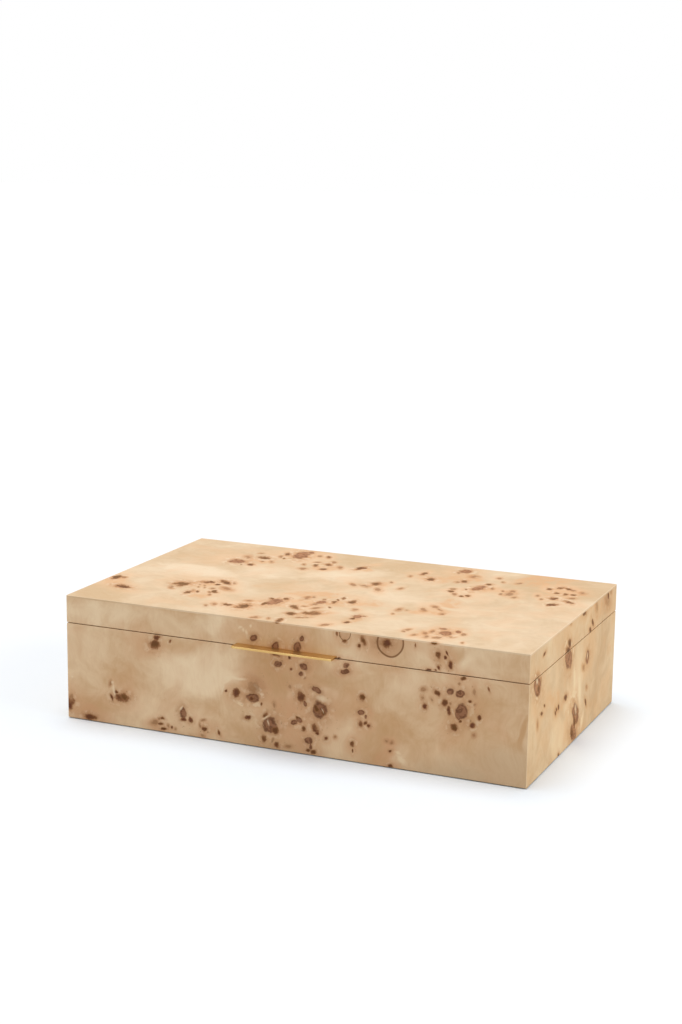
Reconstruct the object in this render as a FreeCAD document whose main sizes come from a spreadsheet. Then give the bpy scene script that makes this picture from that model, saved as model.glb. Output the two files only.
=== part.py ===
"""A low rectangular keepsake box faced with burl veneer, with a hinged lid and a brass lift tab.

The box is made the way a veneered box is made: board walls mitred at the corners, a bottom panel let
into a rabbet, thin sheets of veneer over every outside face, and a lid of the same build. Two stop
hinges are let into the back rims. Frame: +X to the right, +Y to the back, +Z up, with the origin at
the middle of the felt underside. Millimetres.
"""

import FreeCAD, Part
import os

import Sketcher

doc = FreeCAD.newDocument("veneered_box")
sheet = doc.addObject("Spreadsheet::Sheet", "dims")

SIZES = (
    ("box_width", 300, "outside width"),
    ("box_depth", 179, "outside depth, without the tab and the hinge barrels"),
    ("box_height", 79, "outside height, from the felt to the lid's top"),
    ("lid_height", 17.2, "outside height of the lid, from its rim to its top"),
    ("seam_gap", 0.6, "open joint between the two rims"),
    ("wall_thickness", 9, "board of the walls and of the lid rails"),
    ("bottom_thickness", 6, "board of the bottom panel"),
    ("bottom_rabbet", 4, "depth of the rabbet that holds the bottom panel"),
    ("lid_panel_thickness", 8, "board of the lid's top panel"),
    ("veneer_thickness", 1.2, "burl veneer with its lacquer"),
    ("edging_thickness", 0.6, "straight-grained strip on the rims"),
    ("edge_radius", 0.5, "rounding of the upright corners and the lid's top edges"),
    ("seam_easing", 0.25, "rounding of the edges at the seam and the foot"),
    ("felt_thickness", 0.4, "thin felt under the bottom"),
    ("felt_inset", 1, "felt edge behind the outside faces"),
    ("lining_thickness", 1.5, "suede-covered card on the inside walls"),
    ("lining_drop", 2, "lining edge behind the rim"),
    ("pad_thickness", 2, "suede-covered pad on the floor and in the lid"),
    ("pad_clearance", 0.3, "gap round the pads"),
    ("pad_rounding", 0.7, "rounding of the pads' open edges"),
    ("tab_width", 65, "brass tab, along the front"),
    ("tab_projection", 8, "brass tab, in front of the box"),
    ("tab_thickness", 1.2, "brass tab"),
    ("tab_corner_radius", 1.2, "rounding of the tab's front corners"),
    ("tab_edge_radius", 0.25, "softened upper front edge of the tab"),
    ("tab_margin", 2.4, "rail left behind the tab"),
    ("tab_screw_spacing", 44, "between the two screws of the tab"),
    ("tab_screw_length", 5, "screws of the tab"),
    ("hinge_spacing", 170, "between the middles of the two hinges"),
    ("hinge_length", 38, "leaf, along the rim"),
    ("leaf_thickness", 1.2, "hinge leaf"),
    ("leaf_gap", 0.2, "between the two closed leaves"),
    ("leaf_margin", 2.4, "rim left in front of a leaf"),
    ("knuckle_length", 19, "middle knuckle, which the lid leaf carries"),
    ("knuckle_wall", 1, "metal round the pin"),
    ("knuckle_gap", 0.15, "end play between knuckles"),
    ("barrel_clearance", 0.15, "between the barrel and the back face"),
    ("pin_radius", 1, "hinge pin"),
    ("pin_chamfer", 0.2, "ends of the hinge pin"),
    ("pin_clearance", 0.05, "running fit of the lid knuckle on the pin"),
    ("pin_seat", 0.01, "close fit of the base knuckles on the pin"),
    ("stop_angle", 95, "opening at which the hinges stop, in degrees"),
    ("stop_play", 0.5, "play at the stop, in degrees"),
    ("stop_radius", 3.1, "reach of the stop lug and bar from the pin's axis"),
    ("lug_start", 55, "lug's lower face at rest, in degrees up from the front"),
    ("lug_sweep", 30, "lug's own angle, in degrees"),
    ("bar_sweep", 25, "stop bar's own angle, in degrees"),
    ("screw_head_radius", 2, "countersunk head"),
    ("screw_shank_radius", 1, "shank"),
    ("screw_length", 7, "hinge screws, with the head"),
    ("screw_spacing", 13, "along a leaf"),
    ("screw_slot_width", 0.5, "slot in the head"),
    ("screw_slot_depth", 0.5, "slot in the head"),
    ("screw_clearance", 0.05, "round the head and the shank"),
    ("let_in_clearance", 0.1, "round a leaf or the tab in its mortise"),
    ("bumper_radius", 3, "soft dot on the front rim"),
    ("bumper_inset", 6, "dot's edge from the inside corner"),
)
for row, (alias, value, meaning) in enumerate(SIZES, start=1):
    sheet.set(f"A{row}", meaning)
    sheet.set(f"B{row}", str(value))
    sheet.setAlias(f"B{row}", alias)
doc.recompute()

# Levels and lengths worked out from the sheet, as expression text
LID_RIM = "(dims.box_height - dims.lid_height)"
BASE_RIM = f"({LID_RIM} - dims.seam_gap)"
AXIS_Z = f"({LID_RIM} - dims.seam_gap / 2)"
FOOT = "dims.felt_thickness"
FLOOR = "(dims.felt_thickness + dims.bottom_thickness)"
PANEL_TOP = "(dims.box_height - dims.veneer_thickness)"
PANEL_UNDER = f"({PANEL_TOP} - dims.lid_panel_thickness)"
CORE_WIDTH = "(dims.box_width - 2 * dims.veneer_thickness)"
CORE_DEPTH = "(dims.box_depth - 2 * dims.veneer_thickness)"
INSIDE_WIDTH = f"({CORE_WIDTH} - 2 * dims.wall_thickness)"
INSIDE_DEPTH = f"({CORE_DEPTH} - 2 * dims.wall_thickness)"
BACK_FACE = "(dims.box_depth / 2)"
FRONT_FACE = "(-dims.box_depth / 2)"
SHELL = "(dims.veneer_thickness + dims.wall_thickness)"
KNUCKLE_RADIUS = "(dims.pin_radius + dims.pin_clearance + dims.knuckle_wall)"
AXIS_Y = f"({BACK_FACE} + dims.barrel_clearance + {KNUCKLE_RADIUS})"
LEAF_FRONT = f"({BACK_FACE} - {SHELL} + dims.leaf_margin)"
TAB_BACK = f"({FRONT_FACE} + {SHELL} - dims.tab_margin)"
HEAD_DEPTH = "(dims.screw_head_radius - dims.screw_shank_radius)"

# Turn about Z that takes the front of the box to each side
SIDES = {"front": 0, "right": 90, "back": 180, "left": 270}
HINGES = {"left": "(-dims.hinge_spacing / 2)", "right": "(dims.hinge_spacing / 2)"}
ALONG_X = FreeCAD.Rotation(FreeCAD.Vector(0, 1, 0), 90)
# Places nearer than this are the same place
TOUCH = 1e-6

parts = []


def part(feature, label):
    """Names a finished piece and puts it on the list of files to write."""
    feature.Label = label
    parts.append(feature)
    return feature


def bind(feature, **expressions):
    """Ties properties to the sheet; a double underscore stands for a dot."""
    for name, text in expressions.items():
        feature.setExpression(name.replace("__", "."), text)
    return feature


def place(feature, x, y, z):
    return bind(feature, Placement__Base__x=x, Placement__Base__y=y, Placement__Base__z=z)


def block(name, x, y, z):
    """A box from three (low, high) pairs."""
    box = doc.addObject("Part::Box", name)
    bind(box, Length=f"{x[1]} - {x[0]}", Width=f"{y[1]} - {y[0]}", Height=f"{z[1]} - {z[0]}")
    return place(box, x[0], y[0], z[0])


def centred(length):
    """(low, high) of a length with its middle at zero."""
    return f"(-{length} / 2)", f"({length} / 2)"


def rod(name, radius, x, y, z):
    """A cylinder along X, from x[0] to x[1]."""
    cylinder = doc.addObject("Part::Cylinder", name)
    cylinder.Placement.Rotation = ALONG_X
    bind(cylinder, Radius=radius, Height=f"{x[1]} - {x[0]}")
    return place(cylinder, x[0], y, z)


def fuse(name, pieces):
    feature = doc.addObject("Part::MultiFuse", name)
    feature.Shapes = pieces
    feature.Refine = True
    return feature


def cut(name, base, tools):
    """The base less each tool in turn."""
    for number, tool in enumerate(tools, start=1):
        feature = doc.addObject("Part::Cut", f"{name}_cut_{number}")
        feature.Base = base
        feature.Tool = tool
        base = feature
    return base


def mitred(name, side, span, reach, thickness, z):
    """A strip with mitred ends on one side: span is its outer length, reach its outer face's distance."""
    strip = doc.addObject("Part::Wedge", name)
    strip.Placement.Rotation = FreeCAD.Rotation(FreeCAD.Vector(0, 0, 1), SIDES[side])
    return bind(
        strip,
        Xmin=f"-{span} / 2",
        Xmax=f"{span} / 2",
        X2min=f"-{span} / 2 + {thickness}",
        X2max=f"{span} / 2 - {thickness}",
        Ymin=f"-{reach}",
        Ymax=f"-{reach} + {thickness}",
        Zmin=z[0],
        Zmax=z[1],
        Z2min=z[0],
        Z2max=z[1],
    )


def side_of(side, width, depth):
    """(span, reach) of one side of a rectangle of that width and depth."""
    if side in ("front", "back"):
        return width, f"({depth} / 2)"
    return depth, f"({width} / 2)"


def origin_plane(body, role):
    return next(f for f in body.Origin.OriginFeatures if f.Role == role)


def outline(body, name, role, points):
    """A closed sketch on an origin plane, its corners tied to pairs of expressions."""
    sketch = body.newObject("Sketcher::SketchObject", name)
    sketch.AttachmentSupport = [(origin_plane(body, role), "")]
    sketch.MapMode = "FlatFace"
    values = [[sheet.evalExpression(text) for text in point] for point in points]
    corners = [FreeCAD.Vector(float(x), float(y), 0) for x, y in values]
    count = len(corners)
    for i in range(count):
        sketch.addGeometry(Part.LineSegment(corners[i], corners[(i + 1) % count]), False)
    for i in range(count):
        sketch.addConstraint(Sketcher.Constraint("Coincident", i, 2, (i + 1) % count, 1))
    for i, texts in enumerate(points):
        for kind, text, value in zip(("DistanceX", "DistanceY"), texts, values[i]):
            index = sketch.addConstraint(Sketcher.Constraint(kind, -1, 1, i, 1, float(value)))
            sketch.setExpression(f"Constraints[{index}]", text)
    return sketch


def rectangle(x, y):
    return [(x[0], y[0]), (x[1], y[0]), (x[1], y[1]), (x[0], y[1])]


def pad(body, name, points, z):
    """A prism in a body, from one level to another."""
    sketch = outline(body, f"{name}_outline", "XY_Plane", points)
    bind(sketch, AttachmentOffset__Base__z=z[0])
    feature = body.newObject("PartDesign::Pad", f"{name}_pad")
    feature.Profile = sketch
    bind(feature, Length=f"{z[1]} - {z[0]}")
    doc.recompute()
    return feature


def rounded(body, name, base, radius, chosen):
    """Rounds the edges of base for which chosen(edge) is true."""
    edges = [f"Edge{i}" for i, edge in enumerate(base.Shape.Edges, start=1) if chosen(edge)]
    feature = body.newObject("PartDesign::Fillet", name)
    feature.Base = (base, edges)
    bind(feature, Radius=radius)
    doc.recompute()
    return feature


def upright(edge):
    return edge.BoundBox.XLength + edge.BoundBox.YLength < TOUCH


def level(value):
    """A test for edges that lie wholly at one height."""
    height = float(sheet.evalExpression(value))
    return lambda edge: abs(edge.BoundBox.ZMin - height) + abs(edge.BoundBox.ZMax - height) < TOUCH


def rounded_block(name, z, top_radius, foot_radius):
    """The outside form of the base or the lid, with all its edges eased."""
    body = doc.addObject("PartDesign::Body", name)
    plan = rectangle(centred("dims.box_width"), centred("dims.box_depth"))
    form = pad(body, name, plan, z)
    form = rounded(body, f"{name}_corners", form, "dims.edge_radius", upright)
    form = rounded(body, f"{name}_top", form, top_radius, level(z[1]))
    rounded(body, f"{name}_foot", form, foot_radius, level(z[0]))
    return body


def screw_form(name, x, y, face, up, clearance="0", length="dims.screw_length"):
    """A countersunk head and its shank. The head lies flush with face, and the screw points up or down."""
    head, shank = f"dims.screw_head_radius + {clearance}", f"dims.screw_shank_radius + {clearance}"
    cone = doc.addObject("Part::Cone", f"{name}_head")
    bind(cone, Radius1=head if up else shank, Radius2=shank if up else head, Height=HEAD_DEPTH)
    place(cone, x, y, face if up else f"{face} - {HEAD_DEPTH}")
    core = doc.addObject("Part::Cylinder", f"{name}_shank")
    bind(core, Radius=shank, Height=f"{length} + {clearance}")
    place(core, x, y, face if up else f"{face} - {length} - {clearance}")
    return fuse(f"{name}_form", [cone, core])


def screw(name, x, y, face, up, length="dims.screw_length"):
    """A slotted countersunk screw."""
    slot = block(
        f"{name}_slot",
        (f"({x} - dims.screw_head_radius)", f"({x} + dims.screw_head_radius)"),
        (f"({y} - dims.screw_slot_width / 2)", f"({y} + dims.screw_slot_width / 2)"),
        (face, f"{face} + dims.screw_slot_depth") if up else (f"({face} - dims.screw_slot_depth)", face),
    )
    return cut(name, screw_form(name, x, y, face, up, length=length), [slot])


def group(label, pieces):
    """Identical small pieces as separate solids of one node."""
    feature = doc.addObject("Part::Compound", label)
    feature.Links = pieces
    return part(feature, label)


# Hinge places: the leaves lie flat on each other across the seam
LEAF_LEVELS = {
    "base": (f"({AXIS_Z} - dims.leaf_gap / 2 - dims.leaf_thickness)", f"({AXIS_Z} - dims.leaf_gap / 2)"),
    "lid": (f"({AXIS_Z} + dims.leaf_gap / 2)", f"({AXIS_Z} + dims.leaf_gap / 2 + dims.leaf_thickness)"),
}
LEAF_SCREW_Y = f"(({LEAF_FRONT} + {BACK_FACE}) / 2)"
LEAF_SCREW_STEPS = (-1, 0, 1)


def leaf_screw_places():
    """(name, x) of every screw in the leaves of one rim."""
    for side, middle in HINGES.items():
        for step in LEAF_SCREW_STEPS:
            yield f"{side}_{step + 2}", f"({middle} + {step} * dims.screw_spacing)"


def leaf_face(rim):
    """The open face of a leaf, which its screw heads are flush with."""
    return LEAF_LEVELS["base"][1] if rim == "base" else LEAF_LEVELS["lid"][0]


def mortises(rim):
    """What the leaves of one rim need cut away: their beds, right through the back face."""
    low, high = LEAF_LEVELS[rim]
    levels = (low, AXIS_Z) if rim == "base" else (AXIS_Z, high)
    beds = []
    for side, middle in HINGES.items():
        half = "(dims.hinge_length / 2 + dims.let_in_clearance)"
        beds.append(
            block(
                f"{rim}_{side}_mortise",
                (f"({middle} - {half})", f"({middle} + {half})"),
                (f"({LEAF_FRONT} - dims.let_in_clearance)", AXIS_Y),
                levels,
            )
        )
    return beds


def leaf_screw_holes(rim):
    """Holes for the hinge screws of one rim, with their countersinks."""
    face, up = leaf_face(rim), rim == "lid"
    return [
        screw_form(f"{rim}_{name}_hole", x, LEAF_SCREW_Y, face, up, clearance="dims.screw_clearance")
        for name, x in leaf_screw_places()
    ]


# Brass lift tab, let into the lid's rim at the middle of the front
TAB_LEVELS = (LID_RIM, f"({LID_RIM} + dims.tab_thickness)")
TAB_SCREW_Y = f"(({FRONT_FACE} + dims.veneer_thickness + {TAB_BACK}) / 2)"
TAB_SCREW_X = {"left": "(-dims.tab_screw_spacing / 2)", "right": "(dims.tab_screw_spacing / 2)"}
TAB_HALF = "(dims.tab_width / 2 + dims.let_in_clearance)"

tab_bed = block(
    "tab_bed",
    (f"(-{TAB_HALF})", TAB_HALF),
    (f"({FRONT_FACE} - dims.tab_projection)", f"({TAB_BACK} + dims.let_in_clearance)"),
    (AXIS_Z, TAB_LEVELS[1]),
)
tab_holes = [
    screw_form(
        f"tab_{side}_hole",
        x,
        TAB_SCREW_Y,
        LID_RIM,
        up=True,
        clearance="dims.screw_clearance",
        length="dims.tab_screw_length",
    )
    for side, x in TAB_SCREW_X.items()
]

tab_body = doc.addObject("PartDesign::Body", "tab_blank")
tab_front = f"({FRONT_FACE} - dims.tab_projection)"
tab_form = pad(tab_body, "tab", rectangle(centred("dims.tab_width"), (tab_front, TAB_BACK)), TAB_LEVELS)
tab_front_y = float(sheet.evalExpression(tab_front))
tab_top = level(TAB_LEVELS[1])


def at_tab_front(edge):
    return abs(edge.BoundBox.YMin - tab_front_y) + abs(edge.BoundBox.YMax - tab_front_y) < TOUCH


tab_form = rounded(
    tab_body,
    "tab_corners",
    tab_form,
    "dims.tab_corner_radius",
    lambda edge: upright(edge) and at_tab_front(edge),
)
tab_form = rounded(
    tab_body,
    "tab_front_edge",
    tab_form,
    "dims.tab_edge_radius",
    lambda edge: tab_top(edge) and at_tab_front(edge),
)
part(cut("lift_tab", tab_body, tab_holes), "lift_tab")
group(
    "lift_tab_screws",
    [
        screw(f"tab_{side}_screw", x, TAB_SCREW_Y, LID_RIM, True, "dims.tab_screw_length")
        for side, x in TAB_SCREW_X.items()
    ],
)

# Boards: bottom panel in its rabbet, four base walls, the lid's top panel and its four rails
PANEL_WIDTH = f"({INSIDE_WIDTH} + 2 * dims.bottom_rabbet)"
PANEL_DEPTH = f"({INSIDE_DEPTH} + 2 * dims.bottom_rabbet)"
bottom = block("base_bottom_panel", centred(PANEL_WIDTH), centred(PANEL_DEPTH), (FOOT, FLOOR))
part(bottom, "base_bottom_panel")

base_mortises = mortises("base")
lid_mortises = mortises("lid")
base_holes = leaf_screw_holes("base")
lid_holes = leaf_screw_holes("lid")
lid_panel = block("lid_panel_blank", centred(CORE_WIDTH), centred(CORE_DEPTH), (PANEL_UNDER, PANEL_TOP))
part(cut("lid_top_panel", lid_panel, lid_holes + tab_holes), "lid_top_panel")

BASE_CORE = (FOOT, f"({BASE_RIM} - dims.edging_thickness)")
LID_CORE = (f"({LID_RIM} + dims.edging_thickness)", PANEL_UNDER)
BASE_EDGING = (BASE_CORE[1], BASE_RIM)
LID_EDGING = (LID_RIM, LID_CORE[0])

base_tools = {"back": base_mortises + base_holes}
lid_tools = {"back": lid_mortises + lid_holes, "front": [tab_bed] + tab_holes}
for side in SIDES:
    span, reach = side_of(side, CORE_WIDTH, CORE_DEPTH)
    wall = mitred(f"base_{side}_blank", side, span, reach, "dims.wall_thickness", BASE_CORE)
    part(cut(f"base_{side}_wall", wall, [bottom] + base_tools.get(side, [])), f"base_{side}_wall")
    rail = mitred(f"lid_{side}_blank", side, span, reach, "dims.wall_thickness", LID_CORE)
    part(cut(f"lid_{side}_rail", rail, lid_tools.get(side, [])), f"lid_{side}_rail")
    for rim, levels, tools in (("base", BASE_EDGING, base_tools), ("lid", LID_EDGING, lid_tools)):
        strip = mitred(f"{rim}_{side}_strip", side, span, reach, "dims.wall_thickness", levels)
        part(cut(f"{rim}_{side}_edging", strip, tools.get(side, [])), f"{rim}_{side}_edging")

# Veneer: mitred blanks, thicker than the sheet, trimmed by the outside form of the base and of the lid
BLANK_WIDTH = "(dims.box_width + 2 * dims.veneer_thickness)"
BLANK_DEPTH = "(dims.box_depth + 2 * dims.veneer_thickness)"
base_form = rounded_block("base_form", (FOOT, BASE_RIM), "dims.seam_easing", "dims.seam_easing")
lid_form = rounded_block(
    "lid_form", (LID_RIM, "dims.box_height"), "dims.edge_radius", "dims.seam_easing"
)


def trimmed(name, blank, form):
    feature = doc.addObject("Part::Common", name)
    feature.Base = blank
    feature.Tool = form
    return feature


for side in SIDES:
    span, reach = side_of(side, BLANK_WIDTH, BLANK_DEPTH)
    for rim, form, levels, tools in (
        ("base", base_form, (f"({FOOT} - dims.veneer_thickness)", LID_RIM), base_mortises),
        ("lid", lid_form, (BASE_RIM, PANEL_TOP), lid_mortises),
    ):
        blank = mitred(f"{rim}_{side}_leaf", side, span, reach, "(2 * dims.veneer_thickness)", levels)
        sheet_form = trimmed(f"{rim}_{side}_sheet", blank, form)
        openings = tools if side == "back" else [tab_bed] if (rim, side) == ("lid", "front") else []
        part(cut(f"{rim}_{side}_veneer", sheet_form, openings), f"{rim}_{side}_veneer")
top_blank = block(
    "lid_top_leaf",
    centred(BLANK_WIDTH),
    centred(BLANK_DEPTH),
    (PANEL_TOP, "(dims.box_height + dims.veneer_thickness)"),
)
part(trimmed("lid_top_veneer", top_blank, lid_form), "lid_top_veneer")

# Felt under the bottom
FELT_WIDTH = "(dims.box_width - 2 * dims.felt_inset)"
FELT_DEPTH = "(dims.box_depth - 2 * dims.felt_inset)"
part(block("base_felt", centred(FELT_WIDTH), centred(FELT_DEPTH), ("0", FOOT)), "base_felt")

# Linings on the inside walls, mitred like the walls, and a pad on the floor and in the lid
for side in SIDES:
    span, reach = side_of(side, INSIDE_WIDTH, INSIDE_DEPTH)
    for rim, levels in (
        ("base", (FLOOR, f"({BASE_RIM} - dims.lining_drop)")),
        ("lid", (f"({LID_RIM} + dims.lining_drop)", PANEL_UNDER)),
    ):
        strip = mitred(f"{rim}_{side}_lining", side, span, reach, "dims.lining_thickness", levels)
        part(strip, f"{rim}_{side}_lining")


def soft_pad(label, z, open_face):
    """A pad that fills the space inside the linings, with its open edges rounded."""
    margin = "2 * (dims.lining_thickness + dims.pad_clearance)"
    plan = rectangle(centred(f"({INSIDE_WIDTH} - {margin})"), centred(f"({INSIDE_DEPTH} - {margin})"))
    body = doc.addObject("PartDesign::Body", label)
    form = pad(body, label, plan, z)
    rounded(body, f"{label}_edges", form, "dims.pad_rounding", level(open_face))
    part(body, label)


FLOOR_PAD = (FLOOR, f"({FLOOR} + dims.pad_thickness)")
LID_PAD = (f"({PANEL_UNDER} - dims.pad_thickness)", PANEL_UNDER)
soft_pad("base_floor_pad", FLOOR_PAD, FLOOR_PAD[1])
soft_pad("lid_pad", LID_PAD, LID_PAD[0])

# Soft dots on the front rim, which the closed lid rests on
dots = []
for sign in ("-", ""):
    dot = doc.addObject("Part::Cylinder", "bumper")
    bind(dot, Radius="dims.bumper_radius", Height="dims.seam_gap")
    across = f"({INSIDE_WIDTH} / 2 - dims.bumper_inset - dims.bumper_radius)"
    middle_of_rim = f"(-{INSIDE_DEPTH} / 2 - dims.wall_thickness / 2)"
    dots.append(place(dot, f"{sign}{across}", middle_of_rim, BASE_RIM))
group("lid_bumpers", dots)


def sector(name, radius, x, start, sweep):
    """A wedge of a cylinder along X, from start degrees, counted up from the front, over sweep degrees."""
    wedge = doc.addObject("Part::Cylinder", name)
    down_to_front = 270
    turn = FreeCAD.Rotation(FreeCAD.Vector(0, 0, 1), down_to_front - start - sweep)
    wedge.Placement.Rotation = ALONG_X.multiply(turn)
    bind(wedge, Radius=radius, Height=f"{x[1]} - {x[0]}")
    wedge.Angle = sweep
    return place(wedge, x[0], AXIS_Y, AXIS_Z)


def leaf(side, middle, rim):
    """One hinge leaf: a plate let into the rim, its knuckles, and its half of the stop."""
    name = f"{side}_hinge_{rim}_leaf"
    ends = (f"({middle} - dims.hinge_length / 2)", f"({middle} + dims.hinge_length / 2)")
    inner = (f"({middle} - dims.knuckle_length / 2)", f"({middle} + dims.knuckle_length / 2)")
    shy = (f"({inner[0]} - dims.knuckle_gap)", f"({inner[1]} + dims.knuckle_gap)")
    plate = block(f"{name}_plate", ends, (LEAF_FRONT, BACK_FACE), LEAF_LEVELS[rim])
    pieces = [plate]
    spans = [inner] if rim == "lid" else [(ends[0], shy[0]), (shy[1], ends[1])]
    for number, span in enumerate(spans, start=1):
        pieces.append(block(f"{name}_neck_{number}", span, (BACK_FACE, AXIS_Y), LEAF_LEVELS[rim]))
        pieces.append(rod(f"{name}_knuckle_{number}", KNUCKLE_RADIUS, span, AXIS_Y, AXIS_Z))
    lug_end = sheet.lug_start + sheet.lug_sweep
    if rim == "lid":
        pieces.append(sector(f"{name}_lug", "dims.stop_radius", inner, sheet.lug_start, sheet.lug_sweep))
        bore = "(dims.pin_radius + dims.pin_clearance)"
    else:
        start = lug_end + sheet.stop_angle + sheet.stop_play
        bar = sector(f"{name}_bar", "dims.stop_radius", ends, start, sheet.bar_sweep)
        room = rod(f"{name}_room", f"({KNUCKLE_RADIUS} + dims.barrel_clearance)", shy, AXIS_Y, AXIS_Z)
        pieces.append(cut(f"{name}_stop", bar, [room]))
        bore = "(dims.pin_radius + dims.pin_seat)"
    hole = rod(f"{name}_bore", bore, ends, AXIS_Y, AXIS_Z)
    whole = fuse(f"{name}_whole", pieces)
    return part(cut(name, whole, [hole] + (base_holes if rim == "base" else lid_holes)), name)


def hinge_pin(side, middle):
    """The pin, turned with chamfered ends, along the hinge's axis."""
    body = doc.addObject("PartDesign::Body", f"{side}_hinge_pin")
    start, end = f"({middle} - dims.hinge_length / 2)", f"({middle} + dims.hinge_length / 2)"
    neck = "(dims.pin_radius - dims.pin_chamfer)"
    profile = outline(
        body,
        f"{side}_pin_profile",
        "XY_Plane",
        [
            (start, "0"),
            (end, "0"),
            (end, neck),
            (f"({end} - dims.pin_chamfer)", "dims.pin_radius"),
            (f"({start} + dims.pin_chamfer)", "dims.pin_radius"),
            (start, neck),
        ],
    )
    turned = body.newObject("PartDesign::Revolution", f"{side}_pin_turned")
    turned.Profile = profile
    turned.ReferenceAxis = (profile, ["H_Axis"])
    turned.Angle = 360
    bind(body, Placement__Base__y=AXIS_Y, Placement__Base__z=AXIS_Z)
    return part(body, f"{side}_hinge_pin")


# Two stop hinges, with the screws of each rim as one group
for side, middle in HINGES.items():
    leaf(side, middle, "base")
    leaf(side, middle, "lid")
    hinge_pin(side, middle)
for rim in LEAF_LEVELS:
    group(
        f"hinge_{rim}_screws",
        [
            screw(f"{rim}_{name}_screw", x, LEAF_SCREW_Y, leaf_face(rim), rim == "lid")
            for name, x in leaf_screw_places()
        ],
    )

doc.recompute()

broken = [o.Label for o in doc.Objects if {"Invalid", "Error"} & set(o.State)]
for piece in parts:
    if piece.Shape.isNull() or not piece.Shape.isValid() or not piece.Shape.Solids:
        broken.append(piece.Label)
if broken:
    raise SystemExit(f"not built: {broken}")

os.makedirs("parts", exist_ok=True)
for piece in parts:
    piece.Shape.exportStep(f"parts/{piece.Label}.step")
    print(piece.Label, len(piece.Shape.Solids), round(piece.Shape.Volume, 2))
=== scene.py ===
"""Looks of the burl-veneered keepsake box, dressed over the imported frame. Lengths are in metres."""

import math
import random

import bpy
import numpy as np
from mathutils import Matrix, Vector


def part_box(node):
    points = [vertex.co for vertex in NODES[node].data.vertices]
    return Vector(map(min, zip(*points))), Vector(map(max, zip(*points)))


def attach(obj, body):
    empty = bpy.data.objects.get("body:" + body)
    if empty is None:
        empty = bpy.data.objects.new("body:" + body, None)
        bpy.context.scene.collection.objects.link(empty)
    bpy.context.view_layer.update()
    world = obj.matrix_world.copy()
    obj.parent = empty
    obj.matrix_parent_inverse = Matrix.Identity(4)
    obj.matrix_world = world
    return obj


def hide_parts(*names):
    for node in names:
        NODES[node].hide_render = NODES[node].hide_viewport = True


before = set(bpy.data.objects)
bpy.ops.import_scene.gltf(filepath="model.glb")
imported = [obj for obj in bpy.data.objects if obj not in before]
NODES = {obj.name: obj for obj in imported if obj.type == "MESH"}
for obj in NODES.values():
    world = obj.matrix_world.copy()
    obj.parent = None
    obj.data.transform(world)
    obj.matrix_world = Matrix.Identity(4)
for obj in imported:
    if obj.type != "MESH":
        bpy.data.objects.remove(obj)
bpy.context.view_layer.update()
SIDES = ("front", "right", "back", "left")
X, Y, Z = range(3)
WHITE = (1.0, 1.0, 1.0, 1.0)

# The photograph's camera, solved from the box's visible corners. Pixels count from the upper left.
IMAGE_WIDTH, IMAGE_HEIGHT = 682, 1024
FOCAL_PIXELS = 1865.94
SENSOR = 36.0
NEAR_CLIP, FAR_CLIP = 0.01, 100.0
AZIMUTH, ELEVATION, ROLL = (math.radians(angle) for angle in (23.397, 11.855, 0.702))
TARGET = Vector((0, 0, 0.045))
DISTANCE, SHIFT_RIGHT, SHIFT_UP = 1.18062, -0.003179, 0.081913

BACKWARD = Vector((
    math.sin(AZIMUTH) * math.cos(ELEVATION),
    -math.cos(AZIMUTH) * math.cos(ELEVATION),
    math.sin(ELEVATION),
))
LEVEL_RIGHT = Vector((math.cos(AZIMUTH), math.sin(AZIMUTH), 0))
LEVEL_UP = BACKWARD.cross(LEVEL_RIGHT)
RIGHTWARD = math.cos(ROLL) * LEVEL_RIGHT + math.sin(ROLL) * LEVEL_UP
UPWARD = math.cos(ROLL) * LEVEL_UP - math.sin(ROLL) * LEVEL_RIGHT
EYE = TARGET + BACKWARD * DISTANCE + RIGHTWARD * SHIFT_RIGHT + UPWARD * SHIFT_UP


def make_camera():
    data = bpy.data.cameras.new("camera")
    data.sensor_width = SENSOR
    data.lens = SENSOR * FOCAL_PIXELS / IMAGE_HEIGHT
    data.clip_start = NEAR_CLIP
    data.clip_end = FAR_CLIP
    camera = bpy.data.objects.new("camera", data)
    turn = Matrix((RIGHTWARD, UPWARD, BACKWARD)).transposed()
    camera.matrix_world = Matrix.Translation(EYE) @ turn.to_4x4()
    bpy.context.scene.collection.objects.link(camera)
    bpy.context.scene.camera = camera


def colour(red, green, blue):
    """A shader colour from the 0 to 255 values that a picture shows, by the sRGB curve."""
    def linear(value):
        share = value / 255
        return share / 12.92 if share <= 0.04045 else ((share + 0.055) / 1.055) ** 2.4
    return (linear(red), linear(green), linear(blue), 1.0)


# Where most of a noise's values lie.
NOISE_SPAN = (0.3, 0.7)


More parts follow.
